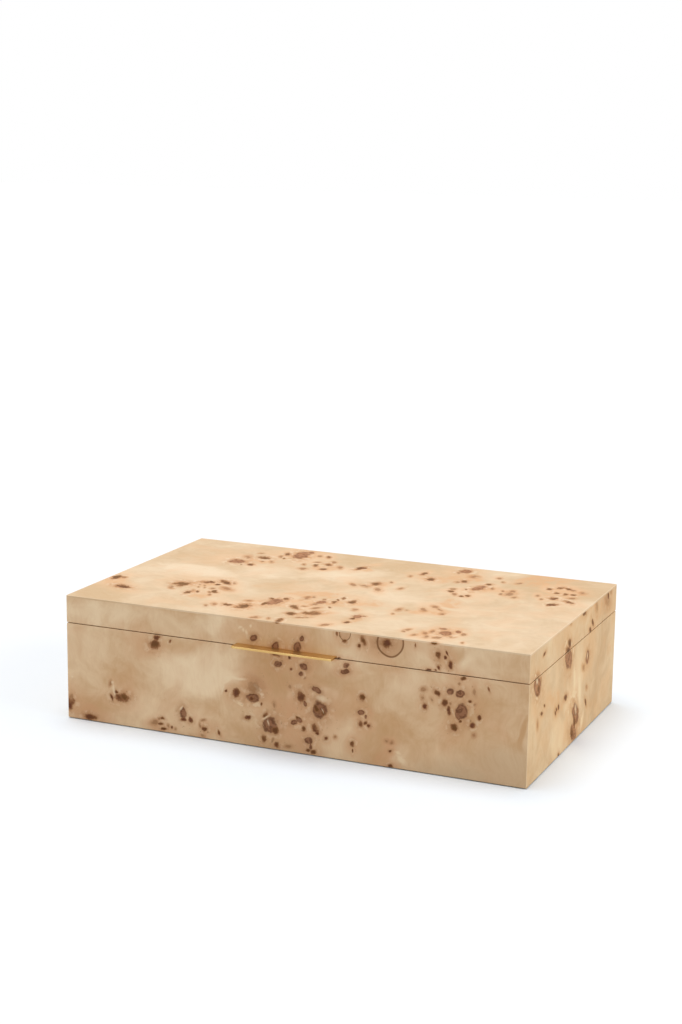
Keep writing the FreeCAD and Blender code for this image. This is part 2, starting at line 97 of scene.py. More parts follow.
class Graph:
    """The nodes of one material or world, made in the order in which they are worked out."""

    def __init__(self, owner):
        owner.use_nodes = True
        self.owner = owner
        self.tree = owner.node_tree
        self.tree.nodes.clear()

    def node(self, kind, inputs=None, **settings):
        made = self.tree.nodes.new(kind)
        for name, value in settings.items():
            setattr(made, name, value)
        for key, value in (inputs or {}).items():
            if isinstance(value, bpy.types.NodeSocket):
                self.tree.links.new(value, made.inputs[key])
            else:
                made.inputs[key].default_value = value
        return made

    def math(self, operation, *values):
        return self.node("ShaderNodeMath", dict(enumerate(values)), operation=operation).outputs[0]

    def times(self, first, second):
        return self.math("MULTIPLY", first, second)

    def vector(self, operation, *values):
        made = self.node("ShaderNodeVectorMath", dict(enumerate(values)), operation=operation)
        return made.outputs["Vector"]

    def noise(self, where, scale, detail=2.0, roughness=0.5):
        inputs = {"Vector": where, "Scale": scale, "Detail": detail, "Roughness": roughness}
        return self.node("ShaderNodeTexNoise", inputs).outputs

    def ramp(self, value, low=NOISE_SPAN[0], high=NOISE_SPAN[1], start=0.0, end=1.0):
        """Goes smoothly from start at low to end at high."""
        inputs = {"Value": value, "From Min": low, "From Max": high, "To Min": start, "To Max": end}
        return self.node("ShaderNodeMapRange", inputs, interpolation_type="SMOOTHSTEP").outputs["Result"]

    def band(self, value, low, high, soft):
        """1 between low and high, and 0 outside."""
        rise = self.ramp(value, low - soft, low)
        return self.times(rise, self.ramp(value, high, high + soft, 1.0, 0.0))

    def mix(self, share, first, second, blend="MIX"):
        inputs = {0: share, 6: first, 7: second}
        return self.node("ShaderNodeMix", inputs, data_type="RGBA", blend_type=blend).outputs[2]

    def stretched(self, where, size):
        return self.node("ShaderNodeMapping", {"Vector": where, "Scale": size}).outputs[0]

    def closeness(self, where, spot, reach):
        """1 in the middle of a spot, falling evenly to 0 at reach times its radius."""
        inputs = {"Vector": where, **spot, "Scale": tuple(reach * size for size in spot["Scale"])}
        local = self.node("ShaderNodeMapping", inputs, vector_type="TEXTURE").outputs[0]
        return self.node("ShaderNodeTexGradient", {"Vector": local}, gradient_type="SPHERICAL").outputs["Fac"]

    def white_where_seen(self, lit, white):
        """The lit shader, or the white one for what the camera sees directly or in a reflection."""
        path = self.node("ShaderNodeLightPath").outputs
        seen = self.math("MAXIMUM", path["Is Camera Ray"], path["Is Glossy Ray"])
        seen = self.math("MAXIMUM", seen, path["Is Transmission Ray"])
        return self.node("ShaderNodeMixShader", {0: seen, 1: lit.outputs[0], 2: white.outputs[0]})

    def output(self, kind, shader):
        self.node(kind, {"Surface": shader.outputs[0]})
        return self.owner


class Coat(Graph):
    """The nodes of a material, with the place in the frame and the surface's normal at hand."""

    def __init__(self, name):
        super().__init__(bpy.data.materials.new(name))
        coordinates = self.node("ShaderNodeTexCoord").outputs
        self.place = coordinates["Object"]
        self.normal = coordinates["Normal"]

    def jitter(self, where, scale, reach):
        """Moves points by a noise, so that what is drawn there loses its even outline."""
        sway = self.vector("SUBTRACT", self.noise(self.place, scale)["Color"], (0.5, 0.5, 0.5))
        return self.vector("MULTIPLY_ADD", sway, (reach, reach, reach), where)

    def finish(self, colours, roughness, height, bump_strength, bump_distance, **constants):
        bumps = {"Height": height, "Strength": bump_strength, "Distance": bump_distance}
        bump = self.node("ShaderNodeBump", bumps)
        inputs = {"Base Color": colours, "Roughness": roughness, "Normal": bump.outputs[0]}
        inputs.update({key.replace("_", " "): value for key, value in constants.items()})
        return self.output("ShaderNodeOutputMaterial", self.node("ShaderNodeBsdfPrincipled", inputs))


# How far a spot goes through its side, which is enough to colour the veneer's edges too.
SPOT_DEPTH = 10.0
# How many times as long as wide an eye may become where the photograph's slant stretches it.
MOST_STRETCH = 2.2


class Face:
    """A veneered side: the frame axis that it faces along, and where on that axis it is."""

    def __init__(self, axis, level):
        self.axis = axis
        self.level = level
        self.first, self.second = (other for other in (X, Y, Z) if other != axis)

    def seen_at(self, x, y):
        """The point of this side that the photograph shows at a pixel."""
        across, down = (x - IMAGE_WIDTH / 2) / FOCAL_PIXELS, (y - IMAGE_HEIGHT / 2) / FOCAL_PIXELS
        ray = RIGHTWARD * across - UPWARD * down - BACKWARD
        return EYE + ray * ((self.level - EYE[self.axis]) / ray[self.axis])

    def spot(self, here, angle, long_radius, short_radius):
        """Mapping inputs that make an ellipse on this side a unit circle."""
        along, over = Vector((0, 0, 0)), Vector((0, 0, 0))
        along[self.first], along[self.second] = math.cos(angle), math.sin(angle)
        over[self.first], over[self.second] = -math.sin(angle), math.cos(angle)
        turn = Matrix((along, over, along.cross(over))).transposed()
        scale = (long_radius, short_radius, SPOT_DEPTH)
        return {"Location": here, "Rotation": turn.to_euler(), "Scale": scale}

    def seen_spot(self, x, y, width, height, lean=0):
        """The spot that the photograph shows as this ellipse. Lean turns its top to the left, in degrees."""
        here = self.seen_at(x, y)
        step_x, step_y = self.seen_at(x + 1, y) - here, self.seen_at(x, y + 1) - here
        pixel = np.array([[step_x[axis], step_y[axis]] for axis in (self.first, self.second)])
        cosine, sine = math.cos(math.radians(lean)), math.sin(math.radians(lean))
        turn = np.array([[cosine, -sine], [-sine, -cosine]])
        turned, radii, _ = np.linalg.svd(pixel @ turn @ np.diag([width / 2, height / 2]))
        return self.spot(here, math.atan2(turned[1, 0], turned[0, 0]), radii[0], radii[1])

    def seen_eye(self, *ellipse):
        """A seen spot, kept from getting too long for its width, with its area as it was."""
        spot = self.seen_spot(*ellipse)
        long_radius, short_radius, depth = spot["Scale"]
        if long_radius > MOST_STRETCH * short_radius:
            short_radius = math.sqrt(long_radius * short_radius / MOST_STRETCH)
            long_radius = MOST_STRETCH * short_radius
        return {**spot, "Scale": (long_radius, short_radius, depth)}


FACES = {
    "front": Face(Y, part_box("base_front_veneer")[0].y),
    "right": Face(X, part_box("base_right_veneer")[1].x),
    "back": Face(Y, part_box("base_back_veneer")[1].y),
    "left": Face(X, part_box("base_left_veneer")[0].x),
    "top": Face(Z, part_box("lid_top_veneer")[1].z),
}

# The burl's eyes, read off the photograph: centre, width, height and lean, in pixels and degrees.
DARK_EYES = {
    "front": (
        (156.5, 637.5, 6, 5), (154.5, 644.5, 10, 9), (170, 641.5, 2.5, 4), (122, 697.5, 14, 8, -8),
        (116.5, 691.5, 4, 3.5), (69, 703.5, 10, 12.5), (90.5, 717, 14, 5.5, -12), (111.5, 697, 2, 10, 15),
        (162.5, 718, 4.5, 2.5, -20), (160.5, 724, 5, 3.2), (163.5, 729.2, 6.5, 2.2, 5), (172, 727.3, 2, 3.2),
        (184, 719.7, 6, 3.5), (190.5, 720, 4.5, 5.5), (204.5, 729, 6, 5), (219, 732.5, 2, 6, 25),
        (236, 692.5, 8, 8), (225.7, 690.7, 3, 2.5), (251.5, 698.5, 6, 5, -10), (261.5, 704, 2.5, 3),
        (247.5, 717, 7, 5), (265.5, 715, 4.5, 6.5, -25), (275.3, 730.5, 6, 8), (263.5, 738, 5, 7),
        (277.5, 745.5, 5.5, 5.5), (297, 717.5, 4, 2.5, -20), (303.5, 728.5, 4, 5), (301, 696.5, 8, 12, 20),
        (316.5, 708, 5, 11, 25), (323, 713, 5, 6.5, 20), (289.5, 657.5, 3, 3), (291, 669.5, 2, 2.5),
        (362, 697.5, 5, 7, 15), (361, 724, 5, 6.5), (365.5, 723, 4, 4), (368.5, 726, 3.5, 4.5),
        (352.5, 744, 4.5, 6), (352.5, 751, 1.5, 4), (326, 738.5, 4, 4), (390, 751, 3, 2.5), (390, 766, 5, 3),
        (313.5, 752, 6, 4.5), (308, 750.5, 4, 3.5), (315.5, 728, 5.5, 8.5, 30), (317.3, 733, 3.5, 4),
        (424.5, 706, 5, 6.5), (437, 692.5, 4.5, 8, 35), (444.5, 702.5, 6, 8, -20), (449, 711, 4.5, 8, 5),
        (479.5, 718, 4, 4.5), (472, 725, 5.5, 5), (454.5, 727.5, 9, 7.5, -30), (463.5, 678.5, 6, 4),
        (489, 689.5, 2.2, 4.5, 20), (470, 702, 3.5, 2.5), (460.5, 721.5, 3, 3), (386.3, 643.3, 10.5, 8.5),
        (345, 641.3, 5, 3.5), (337, 633, 2, 5), (363.3, 640, 4.5, 11, 22), (359.3, 646, 3, 4),
        (415.3, 645, 1.5, 4), (394, 639, 2.5, 2), (398.5, 639.5, 3, 2), (434, 643.5, 4, 1.6),
        (438, 655.5, 5, 7), (447.5, 653.5, 2, 5, 20), (445, 658, 3, 3.5), (450.7, 665, 5, 9, 10),
        (438.5, 667, 3, 4.5, 20), (435.5, 670, 2, 2), (428.5, 670.3, 5, 2.2), (339, 658.5, 4, 2.5),
        (276, 655, 9, 2.6, -15),
    ),
    "right": (
        (538.5, 688.5, 2.6, 7), (537.5, 694.5, 3, 2.4), (569.7, 643, 3, 9), (568, 649.5, 5, 5),
        (584.5, 613, 5.5, 3.4, 35), (590.4, 630, 1.8, 5), (592.8, 622, 1.8, 9, 15), (608.5, 595, 1.7, 8),
        (544.3, 706, 1.5, 3), (541.7, 714, 2.4, 3.6), (565.7, 697.5, 3, 7, -12), (558.5, 707.5, 1.5, 5),
        (556.5, 709.5, 1.4, 4), (555.3, 713, 1.5, 4), (585.5, 702.5, 1.5, 8, 8), (571.6, 733, 2.6, 15),
        (574.3, 722, 2.2, 11), (558.5, 755, 1.4, 4), (544.5, 653.5, 1.6, 5, -20),
    ),
    "top": (
        (117, 577, 9, 2.5, 10), (122.5, 586.3, 14, 3, -8), (183, 583.7, 15, 4), (208.5, 582, 15, 2),
        (226, 582.2, 9, 3.5, -15), (218.5, 584.4, 4.5, 1.5), (189, 592, 10, 2.5, 15), (198, 591.5, 3.5, 1.8),
        (214.5, 591.5, 5, 2.5), (227, 604.6, 8, 2.3), (250.5, 564.5, 5, 1.6), (265.5, 557.8, 11, 2.6),
        (284.2, 558.3, 2.5, 1.5), (288, 554.3, 5, 3, 20), (329, 557, 4, 2.5, -20), (316, 565.3, 3, 3),
        (328, 564.8, 7, 2.6), (323, 569.3, 6, 1.5), (361, 568.3, 11, 2, 10), (271.8, 598.4, 4.5, 1.6),
        (264, 603.6, 5, 2.2, 20), (286.5, 598.8, 6, 2.2), (243, 606.3, 14, 4, 5), (294.5, 607, 9, 3, -20),
        (329.8, 607.4, 3, 1.6), (334, 602, 5, 2.4, 15), (338, 600, 2, 2.5), (343.5, 598.5, 4.5, 2.5, 10),
        (352, 602, 9, 3, 15), (310.5, 613, 17, 3.4), (290.5, 613.7, 9, 2.6), (279.5, 620, 7, 3.2, 10),
        (352.5, 618.6, 5, 1.4, 5), (347.5, 622.3, 6, 1.6, 3), (376, 583.9, 9, 2.6), (424, 573.8, 6, 1.8, 15),
        (430, 579.5, 8, 3), (464, 581.6, 6, 2.4), (488.8, 584.5, 7, 1.4), (450.5, 591.3, 6, 1.5, -5),
        (466, 589.3, 1.6, 2.4), (461.5, 596.4, 4.5, 1.4), (467.5, 595.9, 4, 2), (434.5, 642.5, 5, 1.8, -10),
        (549.5, 589.3, 5, 2.2, -10), (561, 588, 9, 1.8), (568.5, 589.2, 6, 1.8, -15),
        (556.5, 593.2, 4.5, 1.6), (565.5, 594.4, 5.5, 1.8), (573.3, 595.3, 5, 1.4), (553.5, 598.4, 8, 2.4),
        (552, 604.6, 9, 2.8), (568.5, 602.3, 9, 2.6, -12),
    ),
}
KNOTS = {
    "front": (
        (183, 713.5, 6.5, 11, 10), (252.3, 698, 12.5, 8.5, -10), (270.5, 725, 14, 15), (294, 722.5, 7, 6),
        (299.5, 719.5, 8, 5, -30), (305.5, 704, 3, 6, 20), (319.5, 709.5, 13, 17, 20), (308.5, 741, 8, 7),
        (310.5, 747, 3, 5), (316, 690, 10, 5, -35), (361.5, 713, 7, 5, -15), (366, 717, 3, 4),
        (450, 691.5, 7, 6.5), (460.5, 694, 9.5, 7.5), (462, 711, 11, 16, 5), (457.5, 715.5, 3.5, 10, 20),
        (254, 638.5, 7, 6.5), (276, 646, 8, 8), (297.5, 647, 8, 10), (302, 639, 5, 5), (278, 664.5, 7, 6),
        (303.5, 667, 8, 6.5, -35), (301, 674, 5, 4), (346, 665.5, 5.5, 5.5), (345, 671.7, 8, 5),
    ),
    "right": (
        (537.5, 687, 7, 18), (568.7, 659, 6.5, 20), (573, 732, 6, 17), (575.3, 713.5, 6, 19),
        (587.5, 657, 3, 14, -8),
    ),
    "top": (
        (237.5, 561.2, 14, 4), (302, 555, 15, 6, 25), (311.5, 552.8, 5, 2.5), (274.5, 601.8, 16, 4.5, 8),
        (321, 602.3, 8, 3, 10), (357.5, 616.8, 8, 3, 5), (465.5, 571.3, 12, 3), (478, 588.3, 15, 3.4, 14),
        (443.5, 628.8, 8, 1.8), (445.5, 633.5, 12, 4.2), (458.5, 632, 5, 2.2, 5),
    ),
}
FAINT_EYES = {
    "front": (
        (384, 642.5, 17, 12), (305, 678, 2, 2), (203.5, 720, 4, 2), (200, 725.5, 1.6, 6),
        (202, 735, 4, 2.4, -30), (208, 732.5, 2, 1.5), (71, 696, 4.5, 4.5), (387, 741, 3, 3),
        (391.5, 742.5, 3, 3), (422.7, 698, 3.5, 4), (432, 700, 2.5, 4, 20), (450.5, 703.5, 2.5, 3),
        (474.5, 705, 3, 2.6), (459.5, 684, 2.5, 2.5), (474, 735, 3, 4), (335, 737.5, 2, 2.5),
        (272.3, 741, 2.8, 6, -30), (110, 683.5, 2.2, 4, -10), (158.7, 718.5, 2.2, 2.2), (168, 726, 2.2, 3),
        (154.5, 722.5, 6, 4), (175.5, 729, 2, 2), (423.5, 690, 5, 4), (474.5, 692, 1.6, 12), (290, 687, 3, 4),
        (274.5, 705, 2.4, 7), (288, 746.5, 8, 2), (339.5, 635.5, 2, 2), (470.5, 721.5, 2, 2.5),
        (254, 688.5, 12, 15, 25),
    ),
    "right": (
        (538, 676, 4, 5), (570.5, 623.8, 3, 2), (597, 606, 2, 12), (611, 591, 1.8, 8), (607.5, 600, 5, 14),
        (583.5, 667.5, 2, 5), (586.3, 687, 1.6, 4), (537.5, 725, 1.4, 8), (541, 680, 2, 8),
    ),
    "top": (
        (124, 577.2, 4, 1.5), (172, 587, 3, 4), (234.5, 583.2, 3, 2), (200, 584.5, 1.5, 1.5),
        (198.5, 586.8, 1.5, 1.5), (204.5, 585.5, 1.5, 1.5), (204.5, 587.5, 1.5, 1.5), (212.5, 588.5, 4, 1.5),
        (226, 588.5, 9, 3, -10), (209.5, 592, 2, 2), (210, 594.5, 2, 2), (205.5, 605.5, 1.5, 4),
        (213.5, 604, 3, 3), (248, 557, 5, 4, 20), (241.5, 564.3, 4, 1.2), (262, 553.3, 5, 1),
        (281, 556.8, 3, 2, 20), (320.5, 556.3, 4, 1.5), (262, 561.3, 3, 1), (271.5, 561.8, 3, 2),
        (304, 564.5, 3, 1.5), (302.5, 568.7, 6, 1.6), (317, 562.3, 5, 1), (334, 562.5, 4, 1.5),
        (340, 567.7, 4, 2), (365, 586, 8, 2, -10), (248.5, 600.7, 6, 1.6), (307, 598, 8, 2.2, 15),
        (314, 597.2, 4, 1.8), (324, 599.5, 4, 1.6), (314.5, 604.3, 6, 1.5, 5), (304, 606.4, 5, 1.2),
        (316, 608, 8, 1.6, 8), (301.5, 617.4, 12, 1.4), (254.5, 617.5, 8, 1.8, 5), (268.5, 618.3, 3, 1.6),
        (324, 624.7, 9, 1.5, 5), (355, 609.8, 5, 2), (363.5, 616.3, 4, 1.3), (391, 582.3, 3, 1.6),
        (378.5, 589.5, 5, 3, 5), (401, 588.5, 5, 1.5, 10), (410.5, 576.2, 3, 1.6), (458.5, 573, 3, 1.5),
        (474, 576.8, 7, 2), (457, 582.2, 4, 1.5), (453, 589, 5, 1.5), (454.5, 594.3, 3, 2.5),
        (492, 588.5, 2, 3), (407, 610.2, 3, 1.5), (393, 613.8, 2.2, 1.6), (439.5, 609.7, 5, 1.6, -25),
        (442, 614, 4, 1.8), (403, 631.3, 3, 1.2), (414, 634.7, 4, 1.6, 5), (463.5, 634.7, 4, 2),
        (427, 636.7, 5, 2, 5), (451.5, 637.3, 6, 1.2), (462.3, 643, 1.5, 2), (503.5, 582.3, 3, 1.3),
        (518.5, 583.5, 5, 1.3), (502.5, 591.3, 2, 1.6), (514.3, 597.6, 5, 1.5), (573, 590.6, 5, 1.5, -10),
        (541.5, 599.3, 3, 1.4), (571.5, 598.8, 7, 1.4), (583, 593.3, 6, 2), (353.5, 584.8, 5, 2, -15),
        (399.5, 609.7, 6, 2.2, 10), (423.5, 609.8, 5, 3.2, -10), (434.5, 607, 5.5, 2.5, -10),
        (407.5, 629.8, 6, 1.6, 8), (425.5, 633.3, 4, 2.2, -15), (433, 631.7, 4, 2.2, 15),
        (437.5, 637.7, 8, 1.8), (500, 578.5, 4, 1.4), (513, 591.6, 5, 1.8), (500.5, 594, 3, 1.6),
        (509, 594, 9, 3), (537.5, 595.7, 3, 2, 30),
    ),
}
# Dark lines around some eyes, and pale marks beside others, read in the same way.
RINGS = {"front": ((390.5, 643, 27, 28), (344.5, 633.5, 11, 15))}
PALE_RINGS = {
    "front": ((241, 691.5, 48, 25, -24),),
    "right": ((575, 715, 14, 46), (537.5, 687, 10, 25), (568.7, 657, 10, 34)),
}
PALE_MARKS = {
    "front": (
        (266.5, 717.5, 8, 2, 35), (240, 627, 4, 2, 30), (243, 630, 2, 4, 20), (246.5, 633, 2.4, 5, 20),
        (251, 626, 2, 3), (112.3, 683, 2.5, 2), (114, 690, 2, 10, 8), (72.5, 676.5, 2.5, 2),
        (398, 753, 7, 3, -20), (401.5, 760, 5, 13, 40), (227, 681.5, 12, 2.4, 35), (222.5, 688, 2.4, 9, -15),
        (239, 678.5, 14, 2, -8), (181, 708, 4, 1.6, 40), (322, 699, 9, 5, -20), (268.8, 722.8, 1.6, 5, 10),
        (322.5, 711, 0.9, 5, 25),
    ),
    "right": (
        (582, 720, 1.8, 16, -8), (574, 697, 3, 3), (579.5, 690, 2.4, 30), (574.5, 678, 2, 24),
        (537, 681, 1.6, 6), (575.6, 709, 1.6, 9), (587.6, 655.5, 0.8, 6, -8),
    ),
}
# Warm stains that join up the eyes of a group.
STAINS = {
    "front": (
        (262, 695, 60, 40, -30), (300, 715, 60, 80), (460, 705, 60, 60), (290, 648, 70, 26, -8),
        (90, 710, 44, 22, -10), (122, 695, 34, 26), (166, 723, 30, 18, -10), (207, 729, 30, 20),
        (390, 753, 34, 26), (362, 715, 22, 40), (157, 641, 20, 16), (345, 668, 18, 18),
    ),
    "right": (
        (568, 655, 20, 50), (573, 725, 22, 50), (556, 705, 30, 40), (538, 688, 14, 34), (596, 605, 30, 34),
    ),
    "top": (
        (262, 560, 64, 9), (308, 556, 46, 9), (326, 567, 50, 9), (362, 569, 22, 5), (272, 603, 56, 9),
        (322, 603, 76, 11), (308, 614, 60, 8), (200, 584, 66, 10), (196, 593, 40, 6), (246, 607, 36, 6),
        (376, 586, 40, 8), (430, 578, 40, 9), (466, 577, 50, 12), (482, 589, 50, 9), (440, 633, 76, 14),
        (424, 611, 60, 8), (562, 593, 60, 18), (508, 593, 28, 8), (120, 582, 36, 12), (352, 619, 36, 7),
        (545, 581, 90, 14), (315, 594, 90, 9), (372, 604, 40, 8), (455, 604, 40, 8),
    ),
}
# Where the front is greyer, towards its bottom right.
DULL_PATCHES = {"front": ((500, 768, 120, 60), (440, 775, 80, 40))}
# Soft clouds: an ellipse as above, then how much paler, or darker where below 0, the veneer is there.
CLOUDS = {
    "front": (
        (195, 668, 100, 60, 1.1), (85, 650, 45, 100, 0.25), (235, 678, 40, 14, 0.5), (110, 683, 30, 20, 0.3),
        (290, 683, 14, 24, 0.4), (325, 697, 22, 24, 0.4), (345, 655, 40, 25, 0.3),
        (400, 757, 40, 16, -30, 0.4), (110, 614, 130, 32, 0.3), (200, 620, 110, 36, 0.4),
        (455, 655, 120, 30, 0.3), (138, 697, 50, 30, 0.45), (165, 706, 60, 40, 0.35), (255, 720, 50, 30, 0.4),
        (190, 724, 60, 30, 0.3), (405, 680, 50, 30, 0.4), (456, 652, 50, 22, -0.9), (455, 718, 50, 30, -0.35),
        (350, 715, 50, 30, -0.3), (125, 665, 65, 75, -0.3), (85, 705, 60, 35, -0.5),
        (285, 668, 110, 44, -0.55), (300, 705, 150, 110, -0.25), (395, 745, 80, 80, -0.6),
        (525, 735, 10, 40, -0.8), (300, 640, 110, 26, -0.25), (480, 735, 120, 130, -0.2),
    ),
    "right": (
        (578, 690, 12, 80, 0.8), (572, 706, 16, 44, 0.9), (562, 742, 30, 50, 0.8), (598, 660, 22, 140, -0.3),
        (548, 690, 20, 60, 0.1),
    ),
    "top": (
        (190, 569, 84, 9, -10, 0.7), (270, 572, 80, 14, 0.4), (340, 575, 80, 15, 0.4),
        (400, 597, 80, 14, -12, 0.35), (200, 608, 70, 12, 0.4), (160, 592, 60, 12, 0.3),
        (500, 620, 80, 30, 0.2), (200, 553, 120, 20, -0.4), (430, 570, 150, 20, -0.4),
        (300, 585, 110, 18, -0.3), (560, 588, 130, 34, -0.8), (100, 592, 90, 26, -0.8),
        (350, 558, 260, 16, -6, -0.5), (215, 574, 60, 7, 0.5), (375, 572, 40, 8, 0.4),
        (460, 612, 60, 14, 0.4), (335, 613, 40, 8, 0.4), (440, 636, 80, 14, 0.4),
    ),
}

# The veneer's colours on the sides that are seen: of its wood, and of the parts of its eyes.
VENEER_TINTS = {
    "front": {
        "pale": (250, 224, 187), "tan": (212, 170, 125), "warm": (220, 172, 130), "halo": (250, 226, 190),
        "smear": (196, 148, 108), "faint": (158, 114, 76), "knot": (154, 107, 78), "line": (106, 67, 45),
        "rim": (156, 108, 72), "dark": (110, 66, 46), "olive": (114, 76, 42), "stain": (216, 166, 124),
        "dull": (216, 190, 155),
    },
    "right": {
        "pale": (248, 222, 180), "tan": (214, 178, 134), "warm": (230, 184, 132), "halo": (250, 226, 184),
        "smear": (208, 156, 106), "faint": (178, 128, 80), "knot": (186, 132, 90), "line": (128, 84, 52),
        "rim": (162, 112, 68), "dark": (118, 76, 42), "olive": (122, 84, 46), "stain": (228, 180, 128),
    },
    "top": {
        "pale": (246, 222, 190), "tan": (220, 188, 148), "warm": (240, 197, 154), "halo": (248, 226, 194),
        "smear": (206, 150, 104), "faint": (172, 124, 84), "knot": (184, 130, 92), "line": (140, 92, 60),
        "rim": (170, 120, 78), "dark": (118, 76, 42), "olive": (130, 90, 50), "stain": (229, 179, 132),
    },
}
# The sides that aren't seen take after those that are.
SEEN_LIKE = {"back": "front", "left": "right"}
# Features per metre along each axis: the grain stands upright on the sides and runs along the top.
FIBRES = {"front": (650, 650, 50), "right": (650, 650, 50), "top": (50, 650, 650)}
STAIN_STRENGTH = {"front": 0.8, "right": 0.8, "top": 1.2}
DULL_STRENGTH = 0.6
# How firm the faint eyes are, how ragged all of them, and how strong the pale flecks around them.
FAINT_FIRMNESS = {"front": 0.6, "right": 0.6, "top": 0.8}
RAGGED = {"front": 0.2, "right": 0.12, "top": 0.4}
PALE_FLECKS = {"front": 0.3, "right": 0.2, "top": 0.5}

# Noises that move points: features per metre, and how far they move them.
SWAY = (60, 0.002)
COARSE_BEND, FINE_BEND = (160, 0.0024), (480, 0.0006)
DRIFT = (30, 0.03)
ARC_SWAY = (110, 0.005)
# Noises that colour: features per metre, levels of detail, and how strong the finer levels are.
MOTTLE = (28, 4, 0.55)
BLUSH = (44, 2)
PATCH = (130, 3, 0.6)
SPECKLE = (800, 2)
GRIT = (260, 2, 0.6)
FIBRE = (1.0, 4, 0.6)

# How much there is of each thing: the measure that it goes by, from where to where, and the shares there,
# which are 0 and 1 if not given. Distances from an eye are in its radii.
SHARES = {
    "mottle_tone": ("mottle", *NOISE_SPAN, -0.3, 0.3),
    "patch_tone": ("patch", *NOISE_SPAN, -0.12, 0.12),
    "paleness": ("tone", -0.8, 0.9),
    "blush": ("blush", 0.45, 0.7, 0, 0.35),
    "fibre": ("fibre", 0.4, 0.75, 0, 0.1),
    "stained_patch": ("patch", 0.35, 0.65, 0.35, 1),
    "stain": ("stain", 0, 1, 0, 0.8),
    "glow": ("to_any", 1.5, 5.5, 0.6, 0),
    "glowing_mottle": ("mottle", 0.35, 0.6),
    "smear": ("to_any", 0.9, 2.8, 0.8, 0),
    "smeared_patch": ("patch", 0.35, 0.6, 0.3, 1),
    "arc_patch": ("patch", 0.46, 0.6, 0, 0.55),
    "pepper": ("speckle", 0.67, 0.74, 0, 0.6),
    "near_eyes": ("to_any", 1.5, 4, 1, 0),
    "speckled_edge": ("speckle", *NOISE_SPAN, -0.1, 0.1),
    "swirl": ("swirl", -0.7, 0.7, 0, 0.8),
    "knot": ("knot_edge", 0.75, 1.2, 0.92, 0),
    "outlined_patch": ("patch", 0.38, 0.55, 0, 0.6),
    "ring_middle": ("to_ring", 0.5, 1, 0.45, 0),
    "ring_inside": ("to_ring", 0.6, 0.98, 0, 0.6),
    "ring_outside": ("to_ring", 1, 1.06, 1, 0),
    "olive_core": ("blush", 0.4, 0.6),
    "eye_rim": ("dark_edge", 0.35, 1),
    "eye_grit": ("grit", 0.5, 0.7, 0, 0.6),
    "eye": ("dark_edge", 0.75, 1.25, 0.97, 0),
    "mark": ("mark_edge", 0.2, 1.7, 0.65, 0),
    # A painted highlight on the box's rounded edges, where the normal turns away from the axes.
    "edge_highlight": ("squareness", 0.8, 0.99, 0.6, 0),
    "roughness": ("fibre", *NOISE_SPAN, 0.48, 0.58),
}
FLECK_GRIT = (0.45, 0.65)
FAINT_EDGE = (0.5, 1.3)
# Rings around an eye: from where to where, and how soft they are on both sides.
FLECK_BAND = (1.6, 2.0, 0.5)
ARC_BAND = (0.9, 1.0, 0.12)
OUTLINE_BAND = (0.78, 0.95, 0.2)
RING_BAND = (0.94, 1.0, 0.06)
RING_STRENGTH = 0.75
KNOT_RAGGED = 0.5
SWIRL_TURNS, SWIRL_GRIT = 3.0, 18.0
# How far out an eye's distance is told, in its radii, how far a cloud reaches, and where it is full.
EYE_REACH = 6.0
CLOUD_REACH, CLOUD_FULL = 1.2, 0.8
VENEER_BUMP = (0.06, 0.0002)
VENEER_SPECULAR = 0.04


